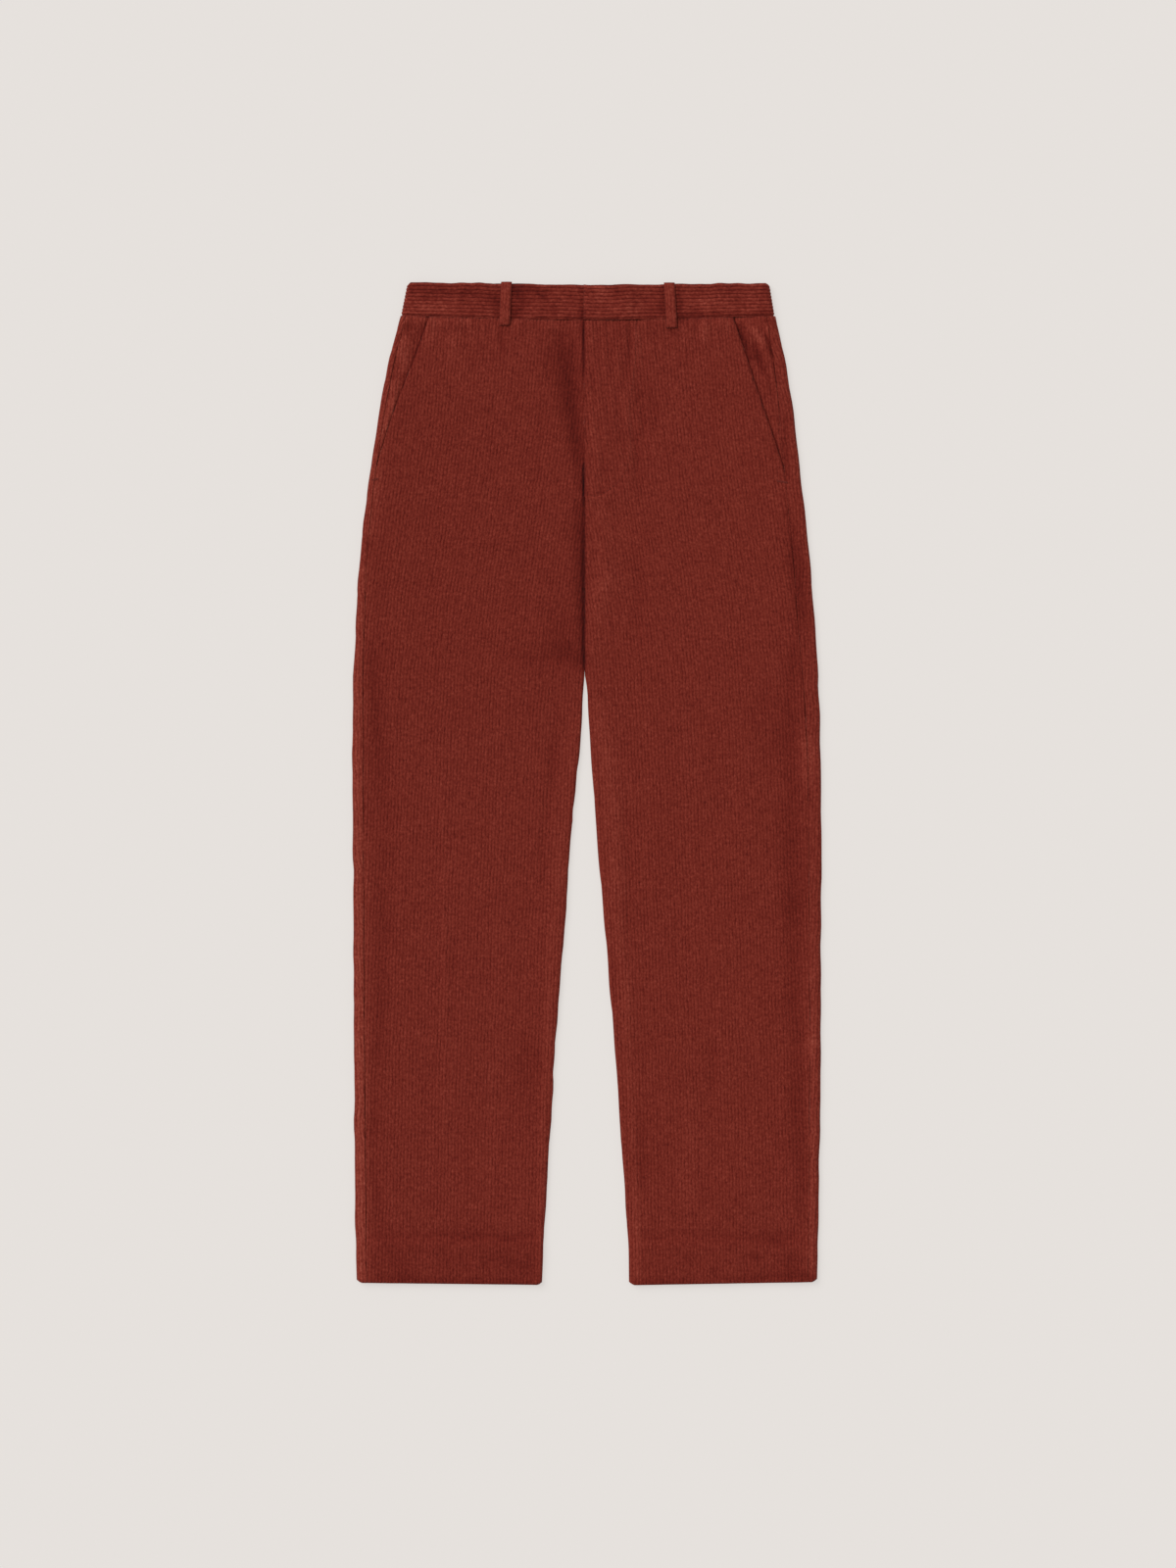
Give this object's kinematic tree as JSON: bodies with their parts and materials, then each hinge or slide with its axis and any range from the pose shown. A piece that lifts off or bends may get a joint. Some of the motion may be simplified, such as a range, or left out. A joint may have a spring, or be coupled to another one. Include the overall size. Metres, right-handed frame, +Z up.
{
  "type": "corduroy trousers",
  "caption": "Straight-leg corduroy trousers laid flat on their back: slant pockets, fly front, waistband with belt loops, turned-up hems.",
  "frame": {"origin": "under the middle of the garment's outline, on the surface that it lies on", "axes": "+Y towards the waist, +X towards the wearer's left, +Z up out of the front"},
  "size_m": [0.4924, 1.0536, 0.0099],
  "materials": {
    "corduroy": "cotton corduroy, ribs along the leg, soft matt pile",
    "corduroy_across": "the same corduroy with its ribs across",
    "belt_loop": "folded strip of the same corduroy, ribs along the strip",
    "thread": "matching sewing thread"
  },
  "bodies": {
    "root": {"front_left": "corduroy", "front_right": "corduroy", "back_left": "corduroy", "back_right": "corduroy", "pocket_facing_left": "corduroy", "pocket_facing_right": "corduroy", "waistband_left": "corduroy_across", "waistband_right": "corduroy_across", "belt_loop_front_left": "belt_loop", "belt_loop_front_right": "belt_loop", "belt_loop_back_left": "belt_loop", "belt_loop_back_centre": "belt_loop", "belt_loop_back_right": "belt_loop"}
  },
  "joints": []
}
